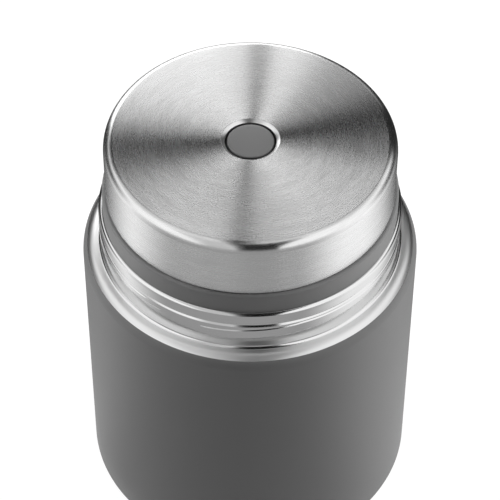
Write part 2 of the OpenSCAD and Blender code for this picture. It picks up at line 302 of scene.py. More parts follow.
@dataclass(frozen=True)
class Finish:
    """A finish whose colour, roughness and relief follow patterns on the surface.

    Its tone is the darkest and the lightest share of its colour, and its play the lowest and the
    highest change of its roughness.
    """

    colour: Colour
    roughness: float
    tone: Span
    play: Span
    depth: float
    metallic: float = 0.0

    def patterns(self, shader: Shader) -> tuple[Value, Value | None, Value]:
        """What colour, roughness and relief follow, from 0 to 1, or None for an even roughness."""
        raise NotImplementedError

    def extras(self) -> dict:
        """The Principled shader's other inputs, by name."""
        return {}

    def material(self, name: str) -> Material:
        """The finish as a material of that name."""
        shader = Shader(name)
        shade, gloss, relief = self.patterns(shader)
        rough = gloss.spread(self.roughness, self.play) if gloss else self.roughness
        sockets = {
            "Base Color": shader.tinted(shade, self.colour, self.tone),
            "Metallic": self.metallic,
            "Roughness": rough,
            "Normal": shader.bump(relief, self.depth),
        }
        return shader.surface(sockets | self.extras())


@dataclass(frozen=True)
class SpunSteel(Finish):
    """Stainless steel brushed round the axis, with a satin, streaked gloss."""

    colour: Colour = grey(0.87)
    roughness: float = 0.27
    tone: Span = (0.8, 1.14)
    play: Span = (-0.05, 0.05)
    depth: float = 0.0000016
    metallic: float = 1.0
    pitch: float = 0.00042
    arc: float = 7.0
    share: float = 0.6
    broad_pitch: float = 0.0021
    broad_arc: float = 2.6
    anisotropy: float = 1.0
    rotation: float = 0.25

    def patterns(self, shader: Shader) -> tuple[Value, Value, Value]:
        """Fine lines with broader ones between them."""
        fine = shader.turned_lines(self.pitch, self.arc, 3.0)
        broad = shader.turned_lines(self.broad_pitch, self.broad_arc, 2.0)
        lines = fine * self.share + broad * (1.0 - self.share)
        return lines, lines, lines

    def extras(self) -> dict:
        """How far and which way the brushing draws its gloss out."""
        return {"Anisotropic": self.anisotropy, "Anisotropic Rotation": self.rotation}


@dataclass(frozen=True)
class PolishedSteel(Finish):
    """Bright steel with faint drawing lines round the axis and a breath of haze."""

    colour: Colour = grey(0.72)
    roughness: float = 0.10
    tone: Span = (0.95, 1.05)
    play: Span = (0.0, 0.05)
    depth: float = 0.0000004
    metallic: float = 1.0
    pitch: float = 0.0006
    arc: float = 3.0
    haze: float = 60.0

    def patterns(self, shader: Shader) -> tuple[Value, Value, Value]:
        """Lines and haze, and the lines alone for the relief."""
        lines = shader.turned_lines(self.pitch, self.arc, 2.0)
        haze = shader.noise(shader.place(), self.haze, 3.0)
        return haze * 0.5 + lines * 0.5, haze * 0.6 + lines * 0.4, lines


@dataclass(frozen=True)
class PowderCoat(Finish):
    """Matte baked powder on steel, with a fine orange-peel surface."""

    colour: Colour = grey(0.107)
    roughness: float = 0.52
    tone: Span = (0.94, 1.06)
    play: Span = (-0.05, 0.05)
    depth: float = 0.000012
    grain: float = 0.00035
    clouds: float = 45.0

    def patterns(self, shader: Shader) -> tuple[Value, Value, Value]:
        """The peel over broad clouds, and the peel alone for the relief."""
        peel = shader.noise(shader.place(), 1.0 / self.grain, 2.0)
        shade = peel * 0.35 + shader.noise(shader.place(), self.clouds, 3.0) * 0.65
        return shade, shade, peel


@dataclass(frozen=True)
class MouldedPlastic(Finish):
    """Moulded plastic with the fine spark-eroded texture of its mould."""

    roughness: float = 0.45
    tone: Span = (0.93, 1.07)
    play: Span = (-0.06, 0.06)
    depth: float = 0.000008
    grain: float = 0.00022
    flow: float = 90.0

    def patterns(self, shader: Shader) -> tuple[Value, Value, Value]:
        """Speckle over the marks of the flow, and the speckle alone for the relief."""
        speckle = shader.noise(shader.place(), 1.0 / self.grain, 2.0, 0.6)
        shade = speckle * 0.5 + shader.noise(shader.place(), self.flow, 2.0) * 0.5
        return shade, shade, speckle


@dataclass(frozen=True)
class Silicone(Finish):
    """Soft rubber with a dusty surface that light sinks into a little."""

    roughness: float = 0.6
    tone: Span = (0.9, 1.0)
    play: Span = (-0.08, 0.1)
    depth: float = 0.00001
    dust: float = 700.0
    sunk_share: float = 0.12
    sunk_depth: float = 0.002
    sheen: float = 0.08

    def patterns(self, shader: Shader) -> tuple[Value, Value, Value]:
        """Dust."""
        dust = shader.noise(shader.place(), self.dust, 4.0, 0.65)
        return dust, dust, dust

    def extras(self) -> dict:
        """The light that sinks in, and a faint sheen."""
        return {
            "Subsurface Weight": self.sunk_share,
            "Subsurface Radius": (self.sunk_depth,) * 3,
            "Sheen Weight": self.sheen,
        }


@dataclass(frozen=True)
class GrainyMetal(Finish):
    """Rolled, sintered or soldered metal with a mottled surface."""

    tone: Span = (0.85, 1.0)
    play: Span = (-0.08, 0.1)
    depth: float = 0.00002
    metallic: float = 1.0
    grain: float = 0.0002

    def patterns(self, shader: Shader) -> tuple[Value, Value, Value]:
        """Mottling."""
        mottle = shader.noise(shader.place(), 1.0 / self.grain, 4.0, 0.6)
        return mottle, mottle, mottle


@dataclass(frozen=True)
class RigidFoam(Finish):
    """Pale foam with open cells on its surface."""

    colour: Colour = (0.85, 0.84, 0.8)
    roughness: float = 0.9
    tone: Span = (0.75, 1.0)
    play: Span = (0.0, 0.0)
    depth: float = 0.0002
    cells: float = 900.0

    def patterns(self, shader: Shader) -> tuple[Value, None, Value]:
        """The distance from each cell's middle."""
        sockets = {"Vector": shader.place(), "Scale": self.cells}
        cells = shader.node("ShaderNodeTexVoronoi", sockets)
        off = Value(shader, cells.outputs["Distance"])
        return off, None, off


class Palette:
    """Every finish of the jar, made once."""

    def __init__(self) -> None:
        """Builds the materials, each slot's under the slot's own name."""
        finishes = {
            Slot.WALL_COAT: PowderCoat(),
            Slot.POLISHED_STEEL: PolishedSteel(),
            Slot.BRUSHED_STEEL: SpunSteel(),
            Slot.PLAIN_STEEL: GrainyMetal(grey(0.55), 0.35, depth=0.000004, grain=0.0004),
            Slot.GREY_PLASTIC: MouldedPlastic(grey(0.13)),
            Slot.DARK_PLASTIC: MouldedPlastic(grey(0.05)),
            Slot.PALE_PLASTIC: MouldedPlastic((0.6, 0.6, 0.58)),
            Slot.DARK_SILICONE: Silicone(grey(0.05)),
            Slot.CLEAR_SILICONE: Silicone((0.75, 0.75, 0.73), 0.5),
            Slot.FOAM: RigidFoam(),
            Slot.COPPER_FOIL: GrainyMetal((0.75, 0.43, 0.3), 0.25, depth=0.00003, grain=0.002),
            Slot.SOLDER: GrainyMetal((0.5, 0.47, 0.42), 0.4, grain=0.0008),
            Slot.GETTER_PELLET: GrainyMetal(grey(0.15), 0.7),
        }
        self.by_slot = {slot: made.material(slot.value) for slot, made in finishes.items()}
        self.button_grey = MouldedPlastic(grey(0.11), 0.34).material("button_grey")
        self.edge_steel = SpunSteel(grey(0.78), 0.2).material("edge_steel")
        haze = (0.0, 0.06)
        self.satin_steel = PolishedSteel(grey(0.76), 0.25, play=haze).material("satin_steel")
        self.ring_steel = PolishedSteel(grey(0.74), 0.3, play=haze).material("ring_steel")

    def __getitem__(self, slot: Slot) -> Material:
        """The material of a slot."""
        return self.by_slot[slot]


class Outline:
    """A line drawn in the XZ plane with runs and arcs, then spun round the Z axis.

    The outside of the piece is on the left of the pen.
    """

    def __init__(self, r: float, z: float) -> None:
        """Puts the pen down at a radius and a height."""
        self.mesh = bmesh.new()
        self.first = self.pen = self.mesh.verts.new((r, 0.0, z))
        self.heading = Vector(UP)

    def line(self, r: float, z: float, pieces: int = 1) -> "Outline":
        """Draws a straight run.

        Args:
            r: Radius of its end.
            z: Height of its end.
            pieces: Edges that it is cut into.

        Returns:
            The outline, to go on from.
        """
        start, end = self.pen.co.copy(), Vector((r, 0.0, z))
        for i in range(1, pieces + 1):
            ahead = self.mesh.verts.new(start.lerp(end, i / pieces))
            self.mesh.edges.new((self.pen, ahead))
            self.pen = ahead
        self.heading = (end - start).normalized()
        return self

    def arc(self, radius: float, turn: float, steps: int = ARC_STEPS) -> "Outline":
        """Draws an arc that leaves the last run without a kink.

        Args:
            radius: The arc's radius.
            turn: Degrees that it turns, to the left if above 0.
            steps: Edges that it is cut into.

        Returns:
            The outline, to go on from.
        """
        side = math.copysign(1.0, turn)
        left = Vector((-self.heading.z, 0.0, self.heading.x)) * side
        spun = bmesh.ops.spin(
            self.mesh,
            geom=[self.pen],
            cent=self.pen.co + left * radius,
            axis=FRONT,
            angle=math.radians(turn),
            steps=steps,
        )
        self.pen = next(g for g in spun["geom_last"] if isinstance(g, bmesh.types.BMVert))
        self.heading = Matrix.Rotation(math.radians(turn), 3, FRONT) @ self.heading
        return self

    def turned(self, steps: int = SPIN_STEPS, closed: bool = False) -> Mesh:
        """Spins the outline into a body of revolution.

        Args:
            steps: Facets round the axis.
            closed: Whether the outline's end is joined to its start.

        Returns:
            The mesh, in millimetres, with its faces outwards.
        """
        mesh = self.mesh
        run = self.first.link_edges[0].other_vert(self.first).co - self.first.co
        middle = self.first.co + run / 2.0
        outward = Vector((-run.z, 0.0, run.x))
        if closed:
            mesh.edges.new((self.pen, self.first))
        bmesh.ops.spin(
            mesh,
            geom=mesh.verts[:] + mesh.edges[:],
            axis=UP,
            angle=math.tau,
            steps=steps,
            use_merge=True,
        )
        bmesh.ops.remove_doubles(mesh, verts=mesh.verts[:], dist=WELD)
        bmesh.ops.recalc_face_normals(mesh, faces=mesh.faces[:])
        mesh.normal_update()
        beside = min(mesh.faces, key=lambda f: (f.calc_center_median() - middle).length)
        if beside.normal.dot(outward) < 0.0:
            bmesh.ops.reverse_faces(mesh, faces=mesh.faces[:])
        return mesh


@dataclass(frozen=True)
class Thread:
    """A multi-start thread as a swelling of a cylinder's surface."""

    root: float
    height: float
    width: float
    low_z: float
    start: float
    side: float = 1.0
    starts: int = 3
    lead: float = 12.0
    gap: float = 4.0
    run_share: float = 0.14
    flat_share: float = 0.26
    foot_share: float = 0.5
    reach: float = 0.02

    @staticmethod
    def eased(share: float) -> float:
        """A share from 0 to 1 with soft ends."""
        share = min(1.0, max(0.0, share))
        return share * share * (3.0 - 2.0 * share)

    def swell(self, angle: float, z: float) -> float:
        """How far the surface stands off its root.

        Args:
            angle: Degrees round the axis from +X.
            z: Height.

        Returns:
            The swelling, in millimetres.
        """
        span = FULL_TURN / self.starts - self.gap
        most = 0.0
        for k in range(self.starts):
            share = ((angle - self.start - FULL_TURN * k / self.starts) % FULL_TURN) / span
            if share > 1.0:
                continue
            ends = self.eased(min(share, 1.0 - share) / self.run_share)
            middle = self.low_z + self.lead * span * share / FULL_TURN
            across = abs(z - middle) / self.width
            flank = self.foot_share - self.flat_share
            form = self.eased((self.foot_share - across) / flank)
            most = max(most, ends * form)
        return most * self.height

    def roll(self, mesh: Mesh, low: float, high: float) -> None:
        """Rolls the thread into the root's part of a turned surface.

        Args:
            mesh: The surface, in millimetres.
            low: Lowest height that may move.
            high: Highest height that may move.
        """
        for vert in mesh.verts:
            radius = math.hypot(vert.co.x, vert.co.y)
            if low < vert.co.z < high and abs(radius - self.root) < self.reach:
                angle = math.degrees(math.atan2(vert.co.y, vert.co.x))
                grown = radius + self.side * self.swell(angle, vert.co.z)
                vert.co.x *= grown / radius
                vert.co.y *= grown / radius


@dataclass
class Piece:
    """One visible piece on its way from a mesh in millimetres to the scene.

    It has its slot's own finish unless it is given others.
    """

    name: str
    mesh: Mesh
    body: Body
    slot: Slot
    replaces: tuple[str, ...]
    sheet: float = 0.0
    materials: tuple[Material, ...] = ()

    def paint(self, index: int, test: Callable[[float, float], bool]) -> "Piece":
        """Gives a second finish to the faces whose radius and height pass a test.

        Args:
            index: Place of the finish in the list of materials.
            test: Takes a face's radius and height, in millimetres.

        Returns:
            The piece, to go on with.
        """
        for face in self.mesh.faces:
            middle = face.calc_center_median()
            if test(math.hypot(middle.x, middle.y), middle.z):
                face.material_index = index
        return self

    def build(self, palette: Palette) -> Object:
        """Makes the object, finishes its surface and sets it on its body.

        Args:
            palette: The finishes.

        Returns:
            The finished object.
        """
        mesh = self.mesh
        for face in mesh.faces:
            face.smooth = True
        for edge in mesh.edges:
            if len(edge.link_faces) == 2:
                edge.smooth = edge.calc_face_angle() < math.radians(SHARP_DEGREES)
        bmesh.ops.scale(mesh, vec=(MM, MM, MM), verts=mesh.verts[:])
        made = meshed(self.name, mesh)
        for material in self.materials or (palette[self.slot],):
            made.data.materials.append(material)
        if self.sheet:
            wall = made.modifiers.new("sheet", "SOLIDIFY")
            wall.thickness = self.sheet * MM
            wall.use_even_offset = True
        flat = made.modifiers.new("flat_faces", "WEIGHTED_NORMAL")
        flat.keep_sharp = True
        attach(made, self.body.value)
        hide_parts(*self.replaces)
        log.info("%s rides on %s: %d faces", self.name, self.body.value, len(made.data.polygons))
        return made


@dataclass
class Flask:
    """The double-walled flask: bare neck, coated wall, lining and base."""

    body_r: float = 50.0
    neck_r: float = 44.8
    groove_r: float = 44.0
    root_r: float = 44.5
    rim_z: float = 108.4
    rim_round: float = 1.3
    inner_rim_r: float = 41.52
    band_z: float = 104.6
    band_edge: float = 0.2
    groove_fall: float = 0.75
    groove_z: float = 103.35
    root_z: float = 102.6
    root_break: Span = (0.04, 0.08)
    root_land: float = 0.1
    shoulder_z: float = 94.1
    fillet_r: float = 1.15
    shoulder_round: float = 4.2
    foot_z: float = 0.6
    foot_round: float = 4.0
    ring_share: float = 0.7
    ring_over: float = 0.2
    shell_t: float = 0.5
    coat_t: float = 0.08
    coat_from: float = 44.0
    mouth_r: float = 41.0
    mouth_edge: Span = (0.2, 0.3)
    seat_z: float = 91.5
    seat_r: float = 37.5
    seat_corner: float = 0.8
    nose_round: float = 1.2
    flare: float = 45.0
    chamber_r: float = 45.0
    chamber_round: float = 8.0
    chamber_z: float = 78.988
    vessel_round: float = 12.0
    floor_z: float = 12.5
    pad_r: float = 40.0
    pad_t: float = 1.6
    pad_edge: float = 0.3
    tread_shares: tuple[float, ...] = (0.8, 0.55, 0.3)
    tread_w: float = 1.5
    tread_d: float = 0.4
    tread_slope: float = 0.3
    cover_r: float = 45.4
    cover_z: float = 0.85
    cover_h: float = 4.0
    cover_t: float = 0.6
    cover_round: float = 1.0
    recess_gap: float = 0.1
    thread_cuts: int = 56
    cup_thread: Thread = Thread(44.5, 0.33, 3.7, 99.12, -118.0, flat_share=0.42)
    cup_thread_land: float = 0.15
    mouth_thread: Thread = Thread(41.0, 1.3, 1.7, 97.85, -60.0, -1.0)
    mouth_thread_lands: Span = (2.0, 0.5)

    def bare_shell(self) -> Mesh:
        """The steel of the outer wall, from the rim down under the coat."""
        skin_r = self.body_r - self.coat_t
        flat_w = skin_r - self.root_r - self.fillet_r - self.shoulder_round
        inward, upward = self.root_break
        outline = Outline(self.inner_rim_r, self.rim_z)
        outline.line(self.neck_r - self.rim_round, self.rim_z, 2).arc(self.rim_round, -90.0)
        outline.line(self.neck_r, self.band_z + self.band_edge, 4).arc(self.band_edge, -45.0, 4)
        outline.line(self.groove_r, self.band_z - self.groove_fall, 3)
        outline.line(self.groove_r, self.groove_z)
        outline.line(self.root_r - inward, self.root_z + upward, 3)
        outline.line(self.root_r, self.root_z - self.root_land)
        outline.line(self.root_r, self.shoulder_z + self.fillet_r, self.thread_cuts)
        outline.arc(self.fillet_r, 90.0)
        outline.line(outline.pen.co.x + flat_w, self.shoulder_z)
        outline.arc(self.shoulder_round, -90.0, 12)
        outline.line(skin_r, self.foot_z + self.foot_round, 12)
        outline.arc(self.foot_round - self.coat_t, -90.0)
        return outline.turned()

    def coat(self) -> Mesh:
        """The powder coat, from its edge on the shoulder to the foot."""
        angle = math.radians(self.coat_from)
        outline = Outline(
            self.body_r - self.shoulder_round * (1.0 - math.sin(angle)),
            self.shoulder_z - self.shoulder_round * (1.0 - math.cos(angle)),
        )
        outline.heading = Vector((math.cos(angle), 0.0, -math.sin(angle)))
        outline.arc(self.shoulder_round, self.coat_from - 90.0)
        outline.line(self.body_r, self.foot_z + self.foot_round, 12)
        outline.arc(self.foot_round, -90.0)
        return outline.turned()

    def lining(self) -> Mesh:
        """The inner wall, seen from the food's side."""
        outline = Outline(0.0, self.floor_z)
        outline.line(self.chamber_r - self.vessel_round, self.floor_z, 8)
        outline.arc(self.vessel_round, 90.0, 12)
        outline.line(self.chamber_r, self.chamber_z, 8)
        outline.arc(self.chamber_round, self.flare, 6)
        slope = math.radians(self.flare)
        end_r = self.seat_r + self.nose_round * (1.0 - math.cos(slope))
        end_z = self.seat_z - self.nose_round * (1.0 + math.sin(slope))
        outline.line(end_r, end_z, 3).arc(self.nose_round, -90.0 - self.flare, 8)
        outline.line(self.mouth_r - self.seat_corner, self.seat_z, 2)
        outline.arc(self.seat_corner, 90.0, 6)
        outward, down = self.mouth_edge
        outline.line(self.mouth_r, self.rim_z - down, self.thread_cuts)
        return outline.line(self.mouth_r + outward, self.rim_z).turned()

    def pad(self) -> Mesh:
        """The silicone foot with its grooves, whose sides slope."""
        outline = Outline(0.0, self.pad_t)
        outline.line(self.pad_r, self.pad_t, 4).line(self.pad_r, self.pad_edge)
        outline.line(self.pad_r - self.pad_edge, 0.0)
        for share in self.tread_shares:
            inner = self.pad_r * share
            outer = inner + self.tread_w
            outline.line(outer, 0.0, 3).line(outer - self.tread_slope, self.tread_d)
            outline.line(inner + self.tread_slope, self.tread_d).line(inner, 0.0)
        return outline.line(0.0, 0.0, 3).turned()

    def cover(self) -> Mesh:
        """The base plate with the pad's recess."""
        gap, edge = self.recess_gap, self.cover_round
        recess_r = self.pad_r + gap
        outline = Outline(self.cover_r, self.cover_z + self.cover_h)
        outline.line(self.cover_r, self.cover_z + edge, 2).arc(edge, -90.0)
        outline.line(recess_r + gap, self.cover_z, 3).line(recess_r, self.cover_z + gap)
        outline.line(recess_r, self.pad_t).line(0.0, self.pad_t, 4)
        return outline.turned()

    def build(self, palette: Palette) -> None:
        """Builds the flask's visible pieces.

        Args:
            palette: The finishes.
        """
        shell, lining, body = self.bare_shell(), self.lining(), Body.FLASK
        under = self.root_z - self.cup_thread_land
        self.cup_thread.roll(shell, self.shoulder_z + self.fillet_r, under)
        low, high = self.mouth_thread_lands
        self.mouth_thread.roll(lining, self.seat_z + low, self.rim_z - high)
        ring_r = self.root_r + self.fillet_r * self.ring_share
        ring_z = self.shoulder_z + self.ring_over
        bare = Piece(
            "bare_shell", shell, body, Slot.POLISHED_STEEL, ("outer_shell",),
            self.shell_t - self.coat_t, (palette[Slot.POLISHED_STEEL], palette.ring_steel),
        ).paint(1, lambda r, z: r > ring_r and z < ring_z)
        coat = Piece(
            "wall_coat", self.coat(), body, Slot.WALL_COAT, ("outer_shell",), self.coat_t
        )
        inside = Piece(
            "lining", lining, body, Slot.POLISHED_STEEL, ("inner_vessel",), self.shell_t
        )
        pad = Piece("foot_pad", self.pad(), body, Slot.DARK_SILICONE, ("base_pad",))
        plate = Piece(
            "base_plate", self.cover(), body, Slot.BRUSHED_STEEL, ("base_cover",), self.cover_t
        )
        for piece in (bare, coat, inside, pad, plate):
            piece.build(palette)


@dataclass
class Stopper:
    """The screw-in stopper: steel cap, moulded body and floor, and its seal."""

    cap_r: float = 42.4
    cap_z: float = 114.97
    foot_round: float = 0.45
    cap_top: float = 134.0
    cap_round: float = 2.7
    cap_t: float = 0.5
    top_play: float = 0.01
    hole_r: float = 7.45
    sink_r: float = 8.55
    sink_depth: float = 0.7
    sink_break: Span = (0.12, 0.09)
    hole_lip: float = 0.8
    hole_break: float = 0.15
    hole_edge: float = 0.2
    sink_slope: float = 50.0
    collar_r: float = 43.5
    collar_z: float = 108.3
    collar_top: float = 114.9
    collar_edge: float = 0.8
    collar_foot: float = 0.15
    spigot_r: float = 39.9
    spigot_h: float = 3.0
    spigot_t: float = 1.8
    plug_r: float = 39.3
    plug_in_r: float = 36.8
    plug_z: float = 94.0
    plug_round: float = 0.5
    seal_z: float = 91.8
    seal_t: float = 2.2
    seal_r: float = 39.4
    seal_in_r: float = 36.4
    lip_round: float = 0.5
    lip_depth: float = 0.35
    lip_heights: tuple[float, ...] = (1.3, 1.1, 0.9, 0.7)
    nose_r: float = 37.1
    nose_top: float = 91.7
    nose_z: float = 86.8
    nose_edge: float = 1.2
    pocket_r: float = 8.5
    pocket_z: float = 89.0
    pocket_round: float = 0.6
    floor_t: float = 2.0
    neck_r: float = 36.1
    spigot_in_r: float = 35.3
    spigot_out_r: float = 36.7
    tube_in_r: float = 3.0
    tube_r: float = 4.6
    tube_top: float = 121.5
    thread_cuts: int = 52
    thread: Thread = Thread(39.3, 1.3, 1.7, 95.85, -60.0)
    thread_lands: Span = (0.6, 0.2)

    def cap(self) -> Mesh:
        """The drawn steel cap with its countersunk hole."""
        ledge = self.cap_top - self.sink_depth
        edge, slope = self.hole_edge, self.sink_slope
        inward, down = self.sink_break
        outline = Outline(self.hole_r, ledge - self.hole_lip)
        outline.line(self.hole_r, ledge - self.hole_break, 2).arc(edge, -slope, 4)
        outline.line(self.sink_r - inward, self.cap_top - down).arc(edge, slope - 90.0, 4)
        outline.line(self.cap_r - self.cap_round, self.cap_top, 24)
        outline.arc(self.cap_round, -90.0, 12)
        outline.line(self.cap_r, self.cap_z + self.foot_round, 8).arc(self.foot_round, -60.0, 6)
        return outline.turned()

    def moulding(self) -> Mesh:
        """The body with the collar, the plug and the outside thread."""
        edge, foot, plug_round = self.collar_edge, self.collar_foot, self.plug_round
        inside, top = self.spigot_r - self.spigot_t, self.collar_top + self.spigot_h
        outline = Outline(self.plug_in_r, self.plug_z)
        outline.line(self.plug_in_r, self.collar_z).line(inside, self.collar_top)
        outline.line(inside, top).line(self.spigot_r, top).line(self.spigot_r, self.collar_top)
        outline.line(self.collar_r - edge, self.collar_top, 2).arc(edge, -90.0, 6)
        outline.line(self.collar_r, self.collar_z + foot, 4).arc(foot, -90.0, 6)
        outline.line(self.plug_r, self.collar_z, 2)
        outline.line(self.plug_r, self.plug_z + plug_round, self.thread_cuts)
        return outline.arc(plug_round, -90.0, 4).turned(closed=True)

    def seal(self) -> Mesh:
        """The silicone ring with its two rounded lips."""
        lip, low, out_r = self.lip_round, self.seal_z, self.seal_r
        outline = Outline(self.seal_in_r, low)
        outline.line(self.seal_in_r, low + self.seal_t)
        outline.line(out_r - lip, low + self.seal_t, 2).arc(lip, -90.0, 6)
        for height, depth in zip(self.lip_heights, (0.0, self.lip_depth, self.lip_depth, 0.0)):
            outline.line(out_r - depth, low + height)
        return outline.line(out_r, low + lip).arc(lip, -90.0, 6).turned(closed=True)

    def floor(self) -> Mesh:
        """The stopper's bottom with the air tube and the vent seal's pocket."""
        top = self.plug_z + self.spigot_h
        outer, above = self.pocket_r + self.floor_t, self.pocket_z + self.floor_t
        outline = Outline(self.spigot_in_r, self.nose_z + self.floor_t)
        outline.line(self.spigot_in_r, top).line(self.spigot_out_r, top)
        outline.line(self.spigot_out_r, self.plug_z).line(self.neck_r, self.plug_z)
        outline.line(self.neck_r, self.nose_top).line(self.nose_r, self.nose_top)
        outline.line(self.nose_r, self.nose_z + self.nose_edge, 3).arc(self.nose_edge, -90.0)
        outline.line(self.pocket_r + self.pocket_round, self.nose_z, 8)
        outline.arc(self.pocket_round, 90.0, 4)
        outline.line(self.pocket_r, self.pocket_z).line(self.tube_in_r, self.pocket_z)
        outline.line(self.tube_in_r, self.tube_top).line(self.tube_r, self.tube_top)
        outline.line(self.tube_r, above).line(outer, above)
        return outline.line(outer, self.nose_z + self.floor_t).turned(closed=True)

    def build(self, palette: Palette) -> None:
        """Builds the stopper's visible pieces.

        Args:
            palette: The finishes.
        """
        moulding, body = self.moulding(), Body.STOPPER
        low, high = self.thread_lands
        self.thread.roll(moulding, self.plug_z + low, self.collar_z - high)
        edge_r, edge_z = self.cap_r - self.cap_round, self.cap_top - self.cap_round
        sink_r, sink_z = self.sink_r + self.hole_edge, self.cap_top - self.top_play
        cap = Piece(
            "steel_cap", self.cap(), body, Slot.BRUSHED_STEEL, ("lid_cap",), self.cap_t,
            (palette[Slot.BRUSHED_STEEL], palette.edge_steel, palette.satin_steel),
        )
        cap.paint(1, lambda r, z: r > edge_r and z > edge_z)
        cap.paint(2, lambda r, z: r < sink_r and z < sink_z)
        plug = Piece("stopper_moulding", moulding, body, Slot.GREY_PLASTIC, ("stopper_body",))
        seal = Piece(
            "seal_lips", self.seal(), Body.SEAL_RING, Slot.CLEAR_SILICONE, ("main_seal",)
        )
        floor = Piece("plug_floor", self.floor(), body, Slot.PALE_PLASTIC, ("stopper_floor",))
        for piece in (cap, plug, seal, floor):
            piece.build(palette)


@dataclass
class Vent:
    """The press vent's button and the spring under it."""

    r: float = 6.8
    top: float = 133.4
    dome: float = 0.2
    edge: float = 0.4
    under: float = 131.0
    wall: float = 1.2
    skirt_z: float = 126.3
    boss_r: float = 3.0
    boss_z: float = 126.8
    socket_r: float = 1.82
    socket_top: float = 130.4
    travel: float = 2.5
    spring_r: float = 4.3
    spring_foot: float = 124.0
    spring_h: float = 7.0
    wire_d: float = 0.7
    wire_sides: int = 12
    curls: int = 5
    curl_steps: int = 32

    def button(self) -> Mesh:
        """The domed button with its skirt and the stem's socket."""
        face_r = self.r - self.edge
        slope = math.degrees(math.atan2(2.0 * self.dome, face_r))
        radius = face_r / math.sin(math.radians(slope))
        outline = Outline(0.0, self.top + self.dome)
        outline.heading = Vector(RIGHT)
        outline.arc(radius, -slope, 8)
        outline.arc(self.edge, slope - 90.0, 6)
        outline.line(self.r, self.skirt_z, 3).line(self.r - self.wall, self.skirt_z)
        outline.line(self.r - self.wall, self.under).line(self.boss_r, self.under)
        outline.line(self.boss_r, self.boss_z).line(self.socket_r, self.boss_z)
        outline.line(self.socket_r, self.socket_top).line(0.0, self.socket_top)
        return outline.turned(SMALL_SPIN_STEPS)

    def spring(self) -> Mesh:
        """The coil between its washer and the button, a round wire along a helix."""
        mesh = bmesh.new()
        wire_r, steps = self.wire_d / 2.0, self.curls * self.curl_steps
        place = Matrix.Translation((self.spring_r, 0.0, self.spring_foot + wire_r))
        start = place @ Matrix.Rotation(math.radians(90.0), 4, "X")
        bmesh.ops.create_circle(mesh, segments=self.wire_sides, radius=wire_r, matrix=start)
        bmesh.ops.spin(
            mesh,
            geom=mesh.verts[:] + mesh.edges[:],
            axis=UP,
            angle=math.tau * self.curls,
            steps=steps,
            dvec=(0.0, 0.0, (self.spring_h - self.wire_d) / steps),
        )
        bmesh.ops.holes_fill(mesh, edges=[edge for edge in mesh.edges if edge.is_boundary])
        bmesh.ops.recalc_face_normals(mesh, faces=mesh.faces[:])
        return mesh

    def build(self, palette: Palette) -> None:
        """Builds the button, and the spring with a mesh of its own.

        Args:
            palette: The finishes.
        """
        Piece(
            "button_cap", self.button(), Body.VENT, Slot.GREY_PLASTIC, ("vent_button",),
            materials=(palette.button_grey,),
        ).build(palette)
        coil = Piece(
            "press_spring", self.spring(), Body.STOPPER, Slot.PLAIN_STEEL, ("vent_spring",)
        ).build(palette)
        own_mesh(coil)


@dataclass(frozen=True)
class InnerPieces:
    """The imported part's own pieces that stay, each with its finish."""

    slots: tuple[tuple[str, Slot], ...] = (
        ("shell_bottom", Slot.PLAIN_STEEL),
        ("sealing_bead", Slot.SOLDER),
        ("getter_holder", Slot.PLAIN_STEEL),
        ("getter", Slot.GETTER_PELLET),
        ("radiation_foil", Slot.COPPER_FOIL),
        ("foam_insert", Slot.FOAM),
        ("cap_carrier", Slot.DARK_PLASTIC),
        ("guide_bush", Slot.DARK_PLASTIC),
        ("spring_seat", Slot.PLAIN_STEEL),
        ("vent_stem", Slot.PALE_PLASTIC),
        ("vent_seal", Slot.CLEAR_SILICONE),
        ("seal_retainer", Slot.PALE_PLASTIC),
        ("retaining_clip", Slot.PLAIN_STEEL),
    )

    def dress(self, nodes: dict[str, Object], palette: Palette) -> None:
        """Gives each piece its finish.

        Args:
            nodes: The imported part's objects by name.
            palette: The finishes.
        """
        for name, slot in self.slots:
            node = nodes[name]
            node.data.materials.clear()
            node.data.materials.append(palette[slot])
            log.info("%s keeps its shape, finished as %s", name, slot.value)


